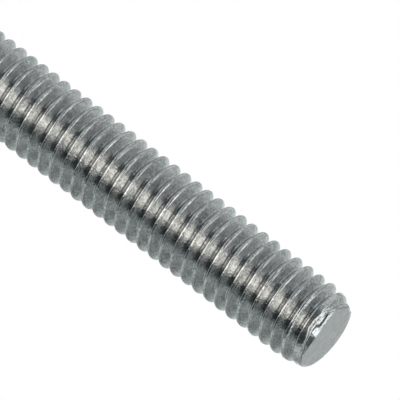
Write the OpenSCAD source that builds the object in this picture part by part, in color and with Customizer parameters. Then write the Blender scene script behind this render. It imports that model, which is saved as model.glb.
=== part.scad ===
// Threaded rod in one piece: a metric coarse thread over the whole length, both ends tapered and cut flat.
// It stands on its lower end. The origin is the centre of that end face and +Z runs along the rod.
// The upper end is as it was cropped: where the blade bit in, one side of its face slopes away.

/* [Thread] */
// Nominal outer diameter of the thread
thread_d = 5; // [4:0.5:10]
// Rise of the thread in one turn
pitch = 0.8; // [0.7:0.05:1.25]
// How much smaller than nominal the real diameters are
thread_allowance = 0.13; // [0:0.01:0.2]
// Direction in which a crest leaves the lower end face
thread_start = 286; // [0:1:359]

/* [Length] */
// Length from end face to end face
rod_len = 50; // [30:1:100]

/* [Ends] */
// Length of the taper that cuts the crests down at each end
taper_len = 1.3; // [0.5:0.1:3]
// How far the taper cuts in from the crests
taper_depth = 0.3; // [0.1:0.02:0.5]
// Width of the broken edge between the taper and the end face
edge_break = 0.1; // [0.04:0.02:0.3]
// Distance from the axis at which the cropped side of the upper face begins
crop_from = 1.25; // [0.5:0.05:2]
// Slope of the cropped side in degrees
crop_angle = 16; // [2:1:30]

/* [Hidden] */

steel = "#a9aeab";
corners = 4;               // corners of the thread's section in one turn: two at the crest, two at the root
most_sides = 24;           // sides round the rod, fewer where the rod has many turns
least_sides = 12;
most_facets = 11600;       // triangles on the thread's whole surface
spare = 1;                 // by how much the crop's cutter stands clear of the rod

flank_angle = 30;          // lean of a flank away from square to the rod
flank_slope = 1 / tan(flank_angle);
crest_half = pitch / 16;
root_half = pitch / 12;
thread_depth = (pitch / 2 - crest_half - root_half) * flank_slope;
crest_r = (thread_d - thread_allowance) / 2;
root_r = crest_r - thread_depth;

taper_end_r = crest_r - taper_depth;
taper_slope = taper_depth / taper_len;

lowest_z = edge_break;
highest_z = rod_len - edge_break;

turns = ceil(rod_len / pitch) + 4;
// An even count of sides keeps the rod's box centred on its axis
side_pairs = floor(most_facets * pitch / (4 * corners * rod_len));
sides = max(least_sides, min(most_sides, 2 * side_pairs));
column = corners * turns;

// Height of the crest's middle on meridian j in turn t
function crest_z(t, j) = pitch * (t - 1 + j / sides - thread_start / 360);

// Radius that the taper leaves at height z
function taper_r(z) = min(crest_r, taper_end_r + min(z, rod_len - z) * taper_slope);

// Radius of the uncut thread at height z, where zc is the middle of a crest close by
function thread_r(z, zc) =
    let (off = abs(z - zc) % pitch, near = min(off, pitch - off))
    max(root_r, min(crest_r, crest_r - (near - crest_half) * flank_slope));

// Half width of a crest on its upper (side = 1) or lower (side = -1) half, wider where the taper cuts it
function crest_reach(zc, side) =
    let (end = zc > rod_len / 2 ? 1 : -1)
    let (depth_in = end > 0 ? rod_len - zc : zc)
    let (cut = crest_r + crest_half * flank_slope - taper_end_r - depth_in * taper_slope)
    min(pitch / 2 - root_half, max(crest_half, cut / (flank_slope - end * side * taper_slope)));

// Height of a corner before the ends cut it off, counting corners up meridian j
function corner_z(m, j) =
    let (zc = crest_z(floor(m / corners), j), k = m % corners)
    k == 0 ? zc - crest_reach(zc, -1) :
    k == 1 ? zc + crest_reach(zc, 1) :
    k == 2 ? zc + pitch / 2 - root_half : zc + pitch / 2 + root_half;

function corner_r(m, j, z) = min(thread_r(z, crest_z(floor(m / corners), j)), taper_r(z));

function at(j, r, z) = [r * cos(360 * j / sides), r * sin(360 * j / sides), z];

function corner_point(m, j) =
    let (z = max(lowest_z, min(highest_z, corner_z(m, j))))
    at(j, corner_r(m, j, z), z);

module thread_blank() {
    meridians = [0 : sides - 1];
    // The corners past each end of the thread fall together on the outer edge of that end's broken edge
    low = [for (j = meridians) max([for (m = [0 : column - 1]) if (corner_z(m, j) <= lowest_z) m])];
    high = [for (j = meridians) min([for (m = [0 : column - 1]) if (corner_z(m, j) >= highest_z) m])];
    function id(m, j) =
        j == sides ? id(m + corners, 0) : j * column + max(low[j], min(high[j], m));

    lower_rim = sides * column;
    upper_rim = lower_rim + sides;
    lower_centre = upper_rim + sides;
    upper_centre = lower_centre + 1;
    points = [
        for (j = meridians, m = [0 : column - 1]) corner_point(m, j),
        for (j = meridians) at(j, corner_r(low[j], j, lowest_z) - edge_break, 0),
        for (j = meridians) at(j, corner_r(high[j], j, highest_z) - edge_break, rod_len),
        [0, 0, 0],
        [0, 0, rod_len]
    ];
    thread = [
        for (j = meridians, m = [0 : column - corners - 2])
            let (a = id(m, j), b = id(m, j + 1), c = id(m + 1, j + 1), d = id(m + 1, j))
            each [if (b != c) [c, b, a], if (a != d) [d, c, a]]
    ];
    lower_end = [
        for (j = meridians)
            let (a = id(0, j), b = id(0, j + 1), c = lower_rim + (j + 1) % sides, d = lower_rim + j)
            each [[a, b, c], [a, c, d], [d, c, lower_centre]]
    ];
    upper_end = [
        for (j = meridians)
            let (m = column - corners - 1)
            let (a = id(m, j), b = id(m, j + 1), c = upper_rim + (j + 1) % sides, d = upper_rim + j)
            each [[c, b, a], [d, c, a], [upper_centre, c, d]]
    ];
    polyhedron(points = points, faces = [each thread, each lower_end, each upper_end], convexity = 10);
}

// The space above the cropped side, which slopes down towards -Y
module crop_cutter() {
    reach = crest_r + spare;
    translate([-reach, -crop_from, rod_len])
        rotate([crop_angle, 0, 0])
            translate([0, -reach, 0])
                cube([2 * reach, reach, reach]);
}

module threaded_rod() {
    color(steel)
        difference() {
            thread_blank();
            crop_cutter();
        }
}

threaded_rod();
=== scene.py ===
import math

import bmesh
import bpy
import numpy as np
from mathutils import Matrix, Vector

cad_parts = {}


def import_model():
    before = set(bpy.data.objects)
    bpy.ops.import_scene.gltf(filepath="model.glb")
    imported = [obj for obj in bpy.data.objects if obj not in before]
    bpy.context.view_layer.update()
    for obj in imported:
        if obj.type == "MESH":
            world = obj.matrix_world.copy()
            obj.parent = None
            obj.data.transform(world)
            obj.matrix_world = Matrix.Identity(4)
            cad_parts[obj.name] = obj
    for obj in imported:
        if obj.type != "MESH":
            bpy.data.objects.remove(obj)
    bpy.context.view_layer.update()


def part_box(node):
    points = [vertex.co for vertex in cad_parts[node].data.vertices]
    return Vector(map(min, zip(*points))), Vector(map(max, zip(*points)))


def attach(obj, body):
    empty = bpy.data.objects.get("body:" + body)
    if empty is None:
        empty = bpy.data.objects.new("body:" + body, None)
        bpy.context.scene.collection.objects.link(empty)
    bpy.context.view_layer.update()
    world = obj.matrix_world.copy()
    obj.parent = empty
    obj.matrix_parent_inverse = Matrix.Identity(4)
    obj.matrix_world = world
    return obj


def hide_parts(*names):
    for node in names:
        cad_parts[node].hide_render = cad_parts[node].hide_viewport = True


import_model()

# A zinc-plated threaded rod, standing on its lower end. Blender's units are metres. The sizes below are in
# millimetres, as in the part's source, apart from the studio's, and the rod's length and diameter come from
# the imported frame.
NODE = "threaded_rod"
MM = 0.001
node_low, node_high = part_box(NODE)

# Sizes of the rod
ROD_LEN = round((node_high.z - node_low.z) / MM, 3)
CREST_R = round(node_high.x / MM, 3)
PITCH = 0.8
THREAD_START = 286.0         # direction in degrees in which a crest leaves the lower end face, as in the part
FLANK_SLOPE = 1 / math.tan(math.radians(30))
CREST_HALF = PITCH / 16
ROOT_HALF = PITCH / 12
THREAD_DEPTH = (PITCH / 2 - CREST_HALF - ROOT_HALF) * FLANK_SLOPE
ROOT_R = CREST_R - THREAD_DEPTH
TAPER_LEN = 1.3
TAPER_DEPTH = 0.3
TAPER_SHIFT = 0.01           # how far the upper taper's axis lies off the rod's, towards -X
EDGE_BREAK = 0.18            # rounder than the part's plain bevel

# The cropped side of the upper face
CROP_FROM = 1.25
CROP_LEAN = 0.075            # how much nearer to the axis the crop's edge lies for each mm towards +X
CROP_STEEP = 0.58            # middle of it: fall next to its edge,
CROP_EASY = 0.18             # fall further out,
CROP_TURN = 0.15             # the drop at which that fall would start at the edge,
CROP_BLEND = 0.03            # and how softly the one turns into the other
CROP_EVEN = 0.38             # -X part: mean fall,
CROP_RIDGE = 0.013           # and half the height of the ridges on it,
CROP_RIPPLE = 18.6           # their radians for each mm,
CROP_LAG = 0.38              # and the radians by which they start late
CROP_FLAT = 0.20             # +X part: fall,
CROP_LAST = 0.08             # and fall at its far end
RIDGED_FROM = -0.06          # where along X each part begins, and the width in which it takes over
RIDGED_FADE = 0.12
FLAT_FROM = 0.42
FLAT_FADE = 0.08
LAST_FROM = 1.05
LAST_FADE = 0.12
CROP_WAVE = 0.006            # slow wave along X on the whole cropped side: half its height,
WAVE_RIPPLE = 5.5            # its radians for each mm,
WAVE_LEAD = 0.6              # its radians where x is 0,
WAVE_GROWTH = 0.12           # and the distance from the crop's edge over which it grows
CROP_BREAK = 0.05            # broken edge along the cropped side, sharper than the rest of the rim,
BREAK_FROM = 0.45            # and the cosine from -Y at which the rim begins to grow sharper
BREAK_FADE = 0.25

# Fineness of the mesh, and how softly its forms blend
SIDES = 56
SEAM_EDGE = 0.15             # where the rows grow wider above a crest's middle, as a share of the pitch,
CREST_EDGE_AT = 0.07         # below it,
ROOT_EDGE = 0.38             # and on the way to the root
SEAM_STEPS = 10
CREST_STEPS = 3
FLANK_STEPS = 2
ROOT_STEPS = 5
CREST_ROUND = 0.050          # blend widths, measured on the radius: the crest's upper edge,
CREST_EDGE = 0.012           # its lower edge,
ROOT_ROUND = 0.100           # the root,
TAPER_BLEND = 0.025          # and where the tapers cut the crests
ROOT_DEEPER = 0.030          # how much further in than the part's the middle of the root lies
SPARE_TURNS = 5              # turns of the helix past the two ends, where they are cut off
EDGE_STEPS = 4               # bands round a broken edge,
FACE_RINGS = 24              # rings on an end face,
CROP_CUTS = 2                # and cuts across each of its faces on the cropped side
CUT_NEAR = 1e-5              # how near a point is taken for one on the crop's cut,
ON_FACE = 1e-4               # on the upper face,
ON_EDGE = 1e-3               # and on the crop's edge

# Irregularities of a rolled and plated thread. Steps and lengths along it are in turns.
SEED = 7
CREST_DIP = 0.004            # how far the crests lie below their greatest radius on average
CREST_WANDER = 0.010         # how much they rise and fall, in long steps
LONG_STEP = 0.31
SHORT_STEP = 0.07            # and in short ones, by a share of it
SHORT_SHARE = 0.6
SEAM_DEPTH = 0.026           # groove that rolling leaves along the crest's upper edge
SEAM_VARY = 0.7              # share by which its depth varies
SEAM_VARY_STEP = 0.23
SEAM_HALF = 0.014            # about half its width
SEAM_AT = 0.066              # its distance from the crest's middle, and how much it strays
SEAM_STRAY = 0.012
SEAM_STRAY_STEP = 0.4
NICKS = 80
NICK_DEPTH = (0.010, 0.04)
NICK_LENGTH = (0.005, 0.018)

# View: the rod's axis lies ROD_TILT below the horizontal in the picture, and VIEW_ANGLE off the line of sight
PICTURE = 400
PX_PER_MM = 18.60
VIEW_ANGLE = math.radians(70.2)
ROD_TILT = math.radians(37.28)
END_PX = (326.5, 335.4)      # centre of the upper end face in the picture
CAMERA_FAR = 575.0
SENSOR = 36.0

# Height of the studio's middle in metres, in the middle of the stretch of rod that the picture shows
STUDIO_HEIGHT = 0.04

# Panels of the studio, the farthest first: azimuths, elevations, colour and level. A nearer one hides what
# lies behind it, so the dark flags take the light away behind the rod and on either side of the bright front.
NEUTRAL, WARM, COOL, BLUISH = (0.97, 1.01, 1.02), (1.04, 1.01, 0.95), (0.94, 1.03, 1.03), (0.85, 1.03, 1.12)
PANELS = [
    ("room_low", (-180, 180), (-2, 38), COOL, 0.37),
    ("room_high", (-180, 180), (38, 90), COOL, 0.33),
    ("back", (-172, -117), (-81, 36), NEUTRAL, 0.74),
    ("back_flag", (147, 209), (27, 66), COOL, 0.10),
    ("behind", (150, 210), (-6, 27), COOL, 0.50),
    ("behind_middle", (164, 196), (-2, 27), COOL, 0.80),
    ("behind_high", (130, 230), (67, 80), NEUTRAL, 2.00),
    ("left_side", (-143, -41), (-78, -3), NEUTRAL, 0.42),
    ("left_band", (-125, -58), (-16, 8), NEUTRAL, 0.72),
    ("right_back", (111, 152), (-80, -2), COOL, 0.50),
    ("right_band", (55, 139), (-25, -2), COOL, 0.38),
    ("right_side", (43, 111), (-74, 51), COOL, 0.60),
    ("left_top", (-125, -46), (40, 75), NEUTRAL, 1.38),
    ("top", (-180, 180), (79, 90), NEUTRAL, 2.20),
    ("front_top", (-34, 33), (32, 64), WARM, 1.17),
    ("left_edge", (-68, -32), (22, 48), NEUTRAL, 1.90),
    ("left_flag", (-46, -5), (-32, 35), BLUISH, 0.11),
    ("front_middle", (-8, 28), (-14, 30), WARM, 0.22),
    ("right_flag", (26, 72), (-34, 66), BLUISH, 0.05),
    ("front_low", (-11, 29), (-76, -30), WARM, 2.10),
    ("front_strip", (-12, 29), (-31, -14), WARM, 1.95),
]
PANEL_FAR = 2.7              # distance of the farthest panel, and from each to the next, in metres
PANEL_GAP = 0.1
PANEL_STEP = 10              # degrees from one row of a panel's points to the next

FLOOR_SIZE = 3.0             # in metres
FLOOR_TONE = 0.8             # what the floor gives back of the white world's light,
FLOOR_GLOW = 0.2             # and what it adds of its own where it is seen, so that it looks white

# Looks of the metal
RELIEF = 0.02                # height of the finest relief
ROOT_PAINTED_SHADE = (-0.04, 0.10)    # distances from the root's radius between which the painted shade in the root fades out, and from the crest's between which the metal grows rubbed
CREST_RUBBED = (-0.11, -0.03)                # and from the crest's between which it grows rubbed
# The dark end of the zinc's colour serves the random blotches, pits and specks, and also the painted shade in
# the thread's roots
DULL_AND_SHADED_ZINC, CLEAN_ZINC = (0.44, 0.455, 0.465, 1), (0.67, 0.675, 0.66, 1)
DARK_CUT, LIGHT_CUT = (0.64, 0.64, 0.63, 1), (0.75, 0.75, 0.735, 1)


def thread_section():
    """Places along one turn from a crest's middle to the next one's, as shares of the pitch, and which crest
    each belongs to: 0 for the lower one, 1 for the upper one. They lie closest on the crest's upper edge."""
    def half(edge, crest_steps):
        return np.concatenate([
            np.linspace(0, edge, crest_steps + 1),
            np.linspace(edge, ROOT_EDGE, FLANK_STEPS + 1)[1:],
            np.linspace(ROOT_EDGE, 0.5, ROOT_STEPS + 1)[1:],
        ])
    above = half(SEAM_EDGE, SEAM_STEPS)
    below = -half(CREST_EDGE_AT, CREST_STEPS)[1:-1][::-1]
    return np.concatenate([above, below]), np.concatenate([np.zeros(len(above)), np.ones(len(below))])


def soft_min(a, b, width):
    h = np.clip(width - np.abs(a - b), 0, None) / width
    return np.minimum(a, b) - h * h * width / 4


def soft_max(a, b, width):
    return -soft_min(-a, -b, width)


def smooth_step(t):
    t = np.clip(t, 0, 1)
    return t * t * (3 - 2 * t)


def wander(rng, at, step):
    """A smooth random line through values one step apart, read at the places given."""
    values = rng.normal(size=int(at.max() / step) + 3)
    place = at / step
    cell = np.floor(place).astype(int)
    t = smooth_step(place - cell)
    return values[cell] * (1 - t) + values[cell + 1] * t


def taper_r(x, z):
    """Radius that the end tapers leave at height z, in the direction whose cosine from +X is x."""
    shift = np.where(z > ROD_LEN / 2, TAPER_SHIFT * x, 0)
    depth_in = np.minimum(z, ROD_LEN - z)
    return CREST_R - TAPER_DEPTH - shift + depth_in * TAPER_DEPTH / TAPER_LEN


def past_crop(x, y):
    """Distance beyond the edge of the cropped side, negative on the flat face."""
    return -y - CROP_FROM + CROP_LEAN * x


def crop_drop(x, y):
    """How far the upper face has dropped where the cropping blade bit in."""
    past = np.clip(past_crop(x, y), 0, None)
    middle = soft_min(CROP_STEEP * past, CROP_TURN + CROP_EASY * past, CROP_BLEND)
    ridged = CROP_EVEN * past + CROP_RIDGE * (math.cos(CROP_LAG) - np.cos(CROP_RIPPLE * past - CROP_LAG))
    to_ridged = smooth_step((RIDGED_FROM - x) / RIDGED_FADE)
    to_flat = smooth_step((x - FLAT_FROM) / FLAT_FADE)
    to_last = smooth_step((x - LAST_FROM) / LAST_FADE)
    flat = (CROP_FLAT + (CROP_LAST - CROP_FLAT) * to_last) * past
    drop = middle + (ridged - middle) * to_ridged + (flat - middle) * to_flat
    wave = CROP_WAVE * np.sin(WAVE_RIPPLE * x + WAVE_LEAD) * (1 - np.exp(-past / WAVE_GROWTH))
    return np.maximum(drop + wave, 0)


def edge_break(x, y, upper):
    """Width of the broken edge of an end, in the direction of x and y."""
    to_crop = smooth_step((-y / np.hypot(x, y) - BREAK_FROM) / BREAK_FADE)
    return EDGE_BREAK - np.where(upper, (EDGE_BREAK - CROP_BREAK) * to_crop, 0)


def thread_points():
    """The thread's surface as rows that climb the helix: x, y and z in mm, with one column for each side.
    Rows past either end are clamped to the edge break there, and the last two results mark them."""
    rng = np.random.default_rng(SEED)
    share, owner = thread_section()
    turns = int(ROD_LEN / PITCH) + SPARE_TURNS
    t = np.arange(turns)[:, None, None]
    j = np.arange(SIDES)[None, None, :]
    share = share[None, :, None]
    owner = owner[None, :, None]
    along = t + owner + j / SIDES                      # turns climbed by the crest that owns the row
    zc = PITCH * (along - 1 - THREAD_START / 360)
    angle = 2 * math.pi * j / SIDES + 0 * along

    # The crest grows wider where the taper cuts it, so its corners slide down the flanks
    end = np.where(zc > ROD_LEN / 2, 1, -1)
    depth_in = np.where(end > 0, ROD_LEN - zc, zc)
    shift = np.where(end > 0, TAPER_SHIFT * np.cos(angle), 0)
    slope = TAPER_DEPTH / TAPER_LEN
    cut = CREST_HALF * FLANK_SLOPE + TAPER_DEPTH + shift - depth_in * slope
    reach = cut / (FLANK_SLOPE - end * np.sign(share) * slope)
    reach = np.clip(reach, CREST_HALF, 0.5 * PITCH - ROOT_HALF) / PITCH
    corner = CREST_HALF / PITCH
    s = np.abs(share)
    s = np.where(s < corner, s * reach / corner, reach + (s - corner) * (0.5 - reach) / (0.5 - corner))
    off = np.sign(share) * s * PITCH

    height = CREST_WANDER * wander(rng, along, LONG_STEP)
    height = height + SHORT_SHARE * CREST_WANDER * wander(rng, along, SHORT_STEP)
    seam = SEAM_DEPTH * np.clip(1 + SEAM_VARY * wander(rng, along, SEAM_VARY_STEP), 0, 2)
    seam_at = SEAM_AT + SEAM_STRAY * wander(rng, along, SEAM_STRAY_STEP)
    crest = CREST_R - CREST_DIP + np.clip(height, -3 * CREST_DIP, CREST_DIP)
    where = rng.uniform(0, turns, NICKS)
    size = rng.uniform(*NICK_DEPTH, NICKS)
    length = rng.uniform(*NICK_LENGTH, NICKS)
    for place, deep, long in zip(where, size, length):
        crest = crest - deep * np.exp(-((along - place) / long) ** 2)
    flank = CREST_R - (np.abs(off) - CREST_HALF) * FLANK_SLOPE
    r = soft_min(crest, flank, np.where(off > 0, CREST_ROUND, CREST_EDGE))
    r = r - seam * np.exp(-((off - seam_at) / SEAM_HALF) ** 2)
    r = soft_max(r, ROOT_R - ROOT_DEEPER, ROOT_ROUND)

    x, y = np.cos(angle), np.sin(angle)
    width = edge_break(x, y, True)
    face_r = CREST_R - TAPER_DEPTH - width
    low = EDGE_BREAK
    high = ROD_LEN - width - crop_drop(face_r * x, face_r * y)
    z = np.clip(zc + off, low, high)
    r = soft_min(r, taper_r(x, z), TAPER_BLEND)
    rows = turns * share.shape[1]
    return [a.reshape(rows, SIDES) for a in (r * x, r * y, z, z <= low, z >= high)]


class Skin:
    """Points and faces of the rod's surface, with a material number for each face."""

    def __init__(self):
        self.points = []
        self.faces = []
        self.materials = []

    def point(self, x, y, z):
        self.points.append((x, y, z))
        return len(self.points) - 1

    def face(self, corners, material=0):
        kept = [c for k, c in enumerate(corners) if c != corners[k - 1]]
        if len(kept) > 2:
            self.faces.append(kept)
            self.materials.append(material)

    def band(self, ring, inner, upper, material=0):
        for j in range(SIDES):
            k = (j + 1) % SIDES
            corners = (ring[j], ring[k], inner[k], inner[j])
            self.face(corners if upper else corners[::-1], material)


PLATED, CUT = 0, 1


def add_end(skin, ring, upper):
    """Rounds the edge off from the thread's last ring, and closes the end with a flat face."""
    rim = [skin.points[v] for v in ring]
    for a in np.linspace(0, math.pi / 2, EDGE_STEPS + 1)[1:]:
        inner = []
        for x, y, z in rim:
            width = float(edge_break(x, y, upper))
            shrink = 1 - (1 - math.cos(a)) * width / math.hypot(x, y)
            lift = math.sin(a) * width * (1 if upper else -1)
            inner.append(skin.point(x * shrink, y * shrink, z + lift))
        skin.band(ring, inner, upper)
        ring = inner
    edge = [skin.points[v] for v in ring]
    for k in range(1, FACE_RINGS):
        share = 1 - k / FACE_RINGS
        inner = [skin.point(x * share, y * share, ROD_LEN if upper else 0) for x, y, z in edge]
        skin.band(ring, inner, upper, CUT)
        ring = inner
    centre = skin.point(0, 0, ROD_LEN if upper else 0)
    for j in range(SIDES):
        corners = (ring[j], ring[(j + 1) % SIDES], centre)
        skin.face(corners if upper else corners[::-1], CUT)


def shape_crop(mesh):
    """Cuts the upper face along the crop's edge, lowers what lies beyond it and keeps that edge crisp."""
    shape = bmesh.new()
    shape.from_mesh(mesh)

    def on_face():
        return [f for f in shape.faces if f.material_index == CUT and f.calc_center_median().z > ROD_LEN / 2]

    cap = on_face()
    parts = list({v for f in cap for v in f.verts}) + list({e for f in cap for e in f.edges}) + cap
    normal = Vector((CROP_LEAN, -1, 0)).normalized()
    bmesh.ops.bisect_plane(shape, geom=parts, dist=CUT_NEAR, plane_co=(0, -CROP_FROM, 0),
                           plane_no=normal)
    beyond = [f for f in on_face() if past_crop(*f.calc_center_median().xy) > 0]
    inside = [e for e in {e for f in beyond for e in f.edges}
              if all(g in beyond for g in e.link_faces)]
    bmesh.ops.subdivide_edges(shape, edges=inside, cuts=CROP_CUTS, use_grid_fill=True)
    rims = {v for f in shape.faces if f.material_index == PLATED for v in f.verts}
    for f in on_face():
        if past_crop(*f.calc_center_median().xy) > ON_FACE:
            f.material_index = PLATED
    for v in shape.verts:
        if v.co.z > ROD_LEN - ON_FACE and v not in rims:
            v.co.z = ROD_LEN - float(crop_drop(v.co.x, v.co.y))
    for e in shape.edges:
        if all(abs(past_crop(v.co.x, v.co.y)) < ON_EDGE and v.co.z > ROD_LEN - 2 * CROP_WAVE
               for v in e.verts):
            e.smooth = False
    bmesh.ops.recalc_face_normals(shape, faces=shape.faces)
    shape.to_mesh(mesh)
    shape.free()


def rod_mesh():
    x, y, z, below, above = thread_points()
    rows = x.shape[0]
    per_turn = len(thread_section()[0])
    low = [int(np.nonzero(below[:, j])[0].max()) for j in range(SIDES)]
    high = [int(np.nonzero(above[:, j])[0].min()) for j in range(SIDES)]
    skin = Skin()
    index = {}

    def at(m, j):
        if j == SIDES:
            return at(m + per_turn, 0)
        m = max(low[j], min(high[j], m))
        if (m, j) not in index:
            index[m, j] = skin.point(x[m, j], y[m, j], z[m, j])
        return index[m, j]

    for m in range(rows - per_turn - 1):
        for j in range(SIDES):
            skin.face((at(m, j), at(m, j + 1), at(m + 1, j + 1), at(m + 1, j)))
    add_end(skin, [at(0, j) for j in range(SIDES)], upper=False)
    add_end(skin, [at(rows - per_turn - 1, j) for j in range(SIDES)], upper=True)

    mesh = bpy.data.meshes.new("threaded_rod_skin")
    mesh.from_pydata(skin.points, [], skin.faces)
    mesh.polygons.foreach_set("material_index", skin.materials)
    mesh.update()
    shape_crop(mesh)
    mesh.shade_smooth()
    mesh.transform(Matrix.Scale(MM, 4))
    return mesh


# Materials

class Tree:
    """Short ways to add and join shader nodes."""

    def __init__(self, tree):
        self.tree = tree
        tree.nodes.clear()

    def add(self, kind, **settings):
        node = self.tree.nodes.new(kind)
        for name, value in settings.items():
            setattr(node, name, value)
        return node

    def set(self, socket, value):
        if isinstance(value, bpy.types.NodeSocket):
            self.tree.links.new(value, socket)
        else:
            socket.default_value = value

    def math(self, operation, *values):
        node = self.add("ShaderNodeMath", operation=operation)
        for socket, value in zip(node.inputs, values):
            self.set(socket, value)
        return node.outputs[0]

    def spread(self, value, low, high, to_low, to_high):
        """Maps low..high to to_low..to_high, smoothly and no further."""
        node = self.add("ShaderNodeMapRange", interpolation_type="SMOOTHSTEP")
        for socket, given in zip(node.inputs, (value, low, high, to_low, to_high)):
            self.set(socket, given)
        return node.outputs[0]

    def noise(self, vector, scale, detail=2.0):
        node = self.add("ShaderNodeTexNoise")
        self.set(node.inputs["Vector"], vector)
        self.set(node.inputs["Scale"], scale)
        self.set(node.inputs["Detail"], detail)
        return node.outputs[0]

    def blend(self, share, first, second):
        node = self.add("ShaderNodeMix", data_type="RGBA")
        self.set(node.inputs[0], share)
        self.set(node.inputs[6], first)
        self.set(node.inputs[7], second)
        return node.outputs[2]

    def bump(self, height, strength, distance):
        node = self.add("ShaderNodeBump")
        self.set(node.inputs["Height"], height)
        self.set(node.inputs["Strength"], strength)
        self.set(node.inputs["Distance"], distance)
        return node.outputs[0]


def new_metal(name):
    material = bpy.data.materials.new(name)
    material.use_nodes = True
    tree = Tree(material.node_tree)
    shader = tree.add("ShaderNodeBsdfPrincipled")
    shader.inputs["Metallic"].default_value = 1.0
    tree.set(tree.add("ShaderNodeOutputMaterial").inputs[0], shader.outputs[0])
    return material, tree, shader


def plated():
    """Bright zinc: rubbed crests with a torn edge, roots darkened with painted shade, and fine streaks that
    follow the thread.
    The scales of the noises are for metres."""
    material, tree, shader = new_metal("zinc_plated_steel")
    place = tree.add("ShaderNodeTexCoord").outputs["Object"]
    split = tree.add("ShaderNodeSeparateXYZ")
    tree.set(split.inputs[0], place)
    x, y, z = split.outputs
    radius = tree.math("SQRT", tree.math("ADD", tree.math("MULTIPLY", x, x), tree.math("MULTIPLY", y, y)))
    turned = tree.math("ARCTAN2", x, tree.math("MULTIPLY", y, -1.0))
    climb = tree.math("SUBTRACT", z, tree.math("MULTIPLY", turned, PITCH * MM / (2 * math.pi)))

    def along_thread(stretch):
        """A place on the surface, stretched so that a pattern on it follows the thread round."""
        across = tree.add("ShaderNodeCombineXYZ")
        tree.set(across.inputs[0], tree.math("MULTIPLY", turned, CREST_R * MM))
        tree.set(across.inputs[1], tree.math("MULTIPLY", radius, stretch))
        tree.set(across.inputs[2], tree.math("MULTIPLY", climb, stretch))
        return across.outputs[0]

    streaks = tree.noise(along_thread(14.0), 900.0)
    tears = tree.noise(along_thread(3.0), 3200.0, 3.0)
    blotches = tree.noise(place, 1300.0, 3.0)
    grain = tree.noise(place, 9000.0, 3.0)
    pits = tree.spread(tree.noise(place, 3800.0), 0.66, 0.74, 0.0, 1.0)
    specks = tree.noise(place, 7000.0, 2.0)
    # Painted shade: a mask that is 1 in the thread's roots and fades out up the flanks, marking where the
    # groove is in shade
    root_shade_radii = [(ROOT_R + distance) * MM for distance in ROOT_PAINTED_SHADE]
    deep = tree.spread(radius, *root_shade_radii, 1.0, 0.0)
    rubbed = [(CREST_R + distance) * MM for distance in CREST_RUBBED]
    crest = tree.spread(radius, *rubbed, 0.0, 1.0)

    tone = tree.spread(blotches, 0.32, 0.62, 0.25, 1.0)
    # Painted shade: the colour is darkened towards the thread's roots
    tone = tree.math("MULTIPLY", tone, tree.math("SUBTRACT", 1.0, tree.math("MULTIPLY", deep, 0.8)))
    tone = tree.math("MULTIPLY", tone, tree.math("SUBTRACT", 1.0, tree.math("MULTIPLY", pits, 0.7)))
    tone = tree.math("ADD", tone, tree.spread(specks, 0.3, 0.7, -0.6, 0.6))
    tree.set(shader.inputs["Base Color"], tree.blend(tone, DULL_AND_SHADED_ZINC, CLEAN_ZINC))
    rough = tree.spread(blotches, 0.3, 0.7, 0.24, 0.15)
    rough = tree.math("SUBTRACT", rough, tree.math("MULTIPLY", crest, 0.05))
    tree.set(shader.inputs["Roughness"], rough)
    relief = tree.math("ADD", tree.math("MULTIPLY", streaks, 0.9), tree.math("MULTIPLY", grain, 1.5))
    relief = tree.math("SUBTRACT", relief, tree.math("MULTIPLY", pits, 0.6))
    relief = tree.math("ADD", relief, tree.math("MULTIPLY", tree.math("MULTIPLY", tears, crest), 2.2))
    tree.set(shader.inputs["Normal"], tree.bump(relief, 0.5, RELIEF * MM))
    return material


def cut():
    """Bare steel of a cut face: matt and pale, with faint scratches across it."""
    material, tree, shader = new_metal("cut_steel")
    place = tree.add("ShaderNodeTexCoord").outputs["Object"]
    lines = tree.add("ShaderNodeMapping")
    tree.set(lines.inputs["Vector"], place)
    lines.inputs["Rotation"].default_value = (0, 0, math.radians(8))
    lines.inputs["Scale"].default_value = (1.0, 9.0, 1.0)
    scratches = tree.noise(lines.outputs[0], 1700.0)
    patches = tree.noise(place, 2600.0, 4.0)
    tone = tree.math("ADD", tree.math("MULTIPLY", scratches, 0.4), tree.math("MULTIPLY", patches, 0.6))
    tone = tree.spread(tone, 0.35, 0.65, 0.0, 1.0)
    tree.set(shader.inputs["Base Color"], tree.blend(tone, DARK_CUT, LIGHT_CUT))
    shader.inputs["Roughness"].default_value = 0.45
    tree.set(shader.inputs["Normal"], tree.bump(tone, 0.45, RELIEF * MM))
    return material


# Studio

def glow(name, colour, strength):
    material = bpy.data.materials.new(name)
    material.use_nodes = True
    tree = Tree(material.node_tree)
    light = tree.add("ShaderNodeEmission")
    light.inputs[0].default_value = (*colour, 1)
    light.inputs[1].default_value = strength
    tree.set(tree.add("ShaderNodeOutputMaterial").inputs[0], light.outputs[0])
    return material


def seen_directly(tree):
    """1 for camera, glossy and transmission rays, which see the white background."""
    path = tree.add("ShaderNodeLightPath")
    total = path.outputs["Is Camera Ray"]
    for name in ("Is Glossy Ray", "Is Transmission Ray"):
        total = tree.math("MAXIMUM", total, path.outputs[name])
    return total


def floor():
    bpy.ops.mesh.primitive_plane_add(size=FLOOR_SIZE)
    plane = bpy.context.object
    plane.name = "floor"
    material = bpy.data.materials.new("pale_floor")
    material.use_nodes = True
    tree = Tree(material.node_tree)
    matt = tree.add("ShaderNodeBsdfDiffuse")
    matt.inputs[0].default_value = (FLOOR_TONE, FLOOR_TONE, FLOOR_TONE, 1)
    light = tree.add("ShaderNodeEmission")
    tree.set(light.inputs[1], tree.math("MULTIPLY", seen_directly(tree), FLOOR_GLOW))
    both = tree.add("ShaderNodeAddShader")
    tree.set(both.inputs[0], matt.outputs[0])
    tree.set(both.inputs[1], light.outputs[0])
    tree.set(tree.add("ShaderNodeOutputMaterial").inputs[0], both.outputs[0])
    plane.data.materials.append(material)
    plane.visible_glossy = False         # the white world, which lies beyond it, shows in the metal instead


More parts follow.
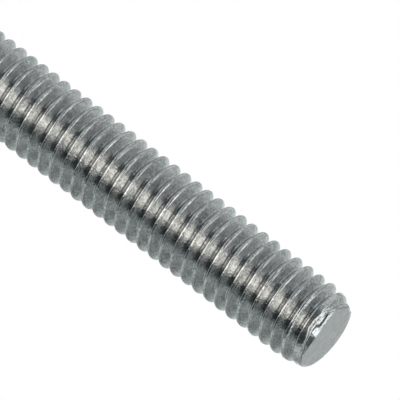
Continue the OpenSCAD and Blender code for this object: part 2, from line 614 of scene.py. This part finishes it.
def panel(name, azimuths, elevations, distance, colour, level):
    """A curved panel far from the rod, which shows only in its reflections. Azimuth is 0 towards the camera
    and grows towards +X, elevation is 0 at the horizon, both in degrees."""
    turns = np.radians(np.linspace(*azimuths, 2 + int((azimuths[1] - azimuths[0]) / PANEL_STEP)))
    rises = np.radians(np.linspace(*elevations, 2 + int((elevations[1] - elevations[0]) / PANEL_STEP)))
    points = [(distance * math.sin(turn) * math.cos(rise), -distance * math.cos(turn) * math.cos(rise),
               STUDIO_HEIGHT + distance * math.sin(rise)) for turn in turns for rise in rises]
    faces = []
    for i in range(len(turns) - 1):
        for k in range(len(rises) - 1):
            a = i * len(rises) + k
            faces.append((a, a + 1, a + len(rises) + 1, a + len(rises)))
    mesh = bpy.data.meshes.new(name)
    mesh.from_pydata(points, [], faces)
    mesh.materials.append(glow(name, colour, level))
    card = bpy.data.objects.new(name, mesh)
    bpy.context.scene.collection.objects.link(card)
    card.visible_camera = False
    card.visible_diffuse = False
    card.visible_shadow = False


def world():
    """White all round."""
    room = bpy.data.worlds.new("studio")
    bpy.context.scene.world = room
    room.use_nodes = True
    tree = Tree(room.node_tree)
    white = tree.add("ShaderNodeBackground")
    white.inputs[0].default_value = (1, 1, 1, 1)
    tree.set(tree.add("ShaderNodeOutputWorld").inputs[0], white.outputs[0])


def camera():
    """Looks at the rod from -Y and above, rolled so that the rod's upper end points down to the right."""
    to_camera = Vector((0, -math.sin(VIEW_ANGLE), math.cos(VIEW_ANGLE)))
    rising = Vector((0, math.cos(VIEW_ANGLE), math.sin(VIEW_ANGLE)))
    side = Vector((1, 0, 0))
    roll_sin, roll_cos = math.cos(ROD_TILT), -math.sin(ROD_TILT)
    right = side * roll_cos + rising * roll_sin
    up = side * -roll_sin + rising * roll_cos
    per_px = MM / PX_PER_MM
    centre = PICTURE / 2
    end = Vector((0, 0, ROD_LEN * MM))
    target = end + right * (centre - END_PX[0]) * per_px + up * (END_PX[1] - centre) * per_px
    data = bpy.data.cameras.new("camera")
    data.sensor_width = SENSOR
    data.lens = CAMERA_FAR * PX_PER_MM / PICTURE * SENSOR
    data.clip_start = 0.01
    data.clip_end = 10.0
    eye = bpy.data.objects.new("camera", data)
    bpy.context.scene.collection.objects.link(eye)
    turn = Matrix((right, up, to_camera)).transposed().to_4x4()
    eye.matrix_world = Matrix.Translation(target + to_camera * CAMERA_FAR * MM) @ turn
    bpy.context.scene.camera = eye


rod = bpy.data.objects.new("threaded_rod_skin", rod_mesh())
bpy.context.scene.collection.objects.link(rod)
rod.data.materials.append(plated())
rod.data.materials.append(cut())
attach(rod, "root")
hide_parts(NODE)

floor()
world()
for order, (name, azimuths, elevations, colour, level) in enumerate(PANELS):
    panel(name, azimuths, elevations, PANEL_FAR - order * PANEL_GAP, colour, level)
camera()

bpy.context.scene.view_settings.view_transform = "Standard"
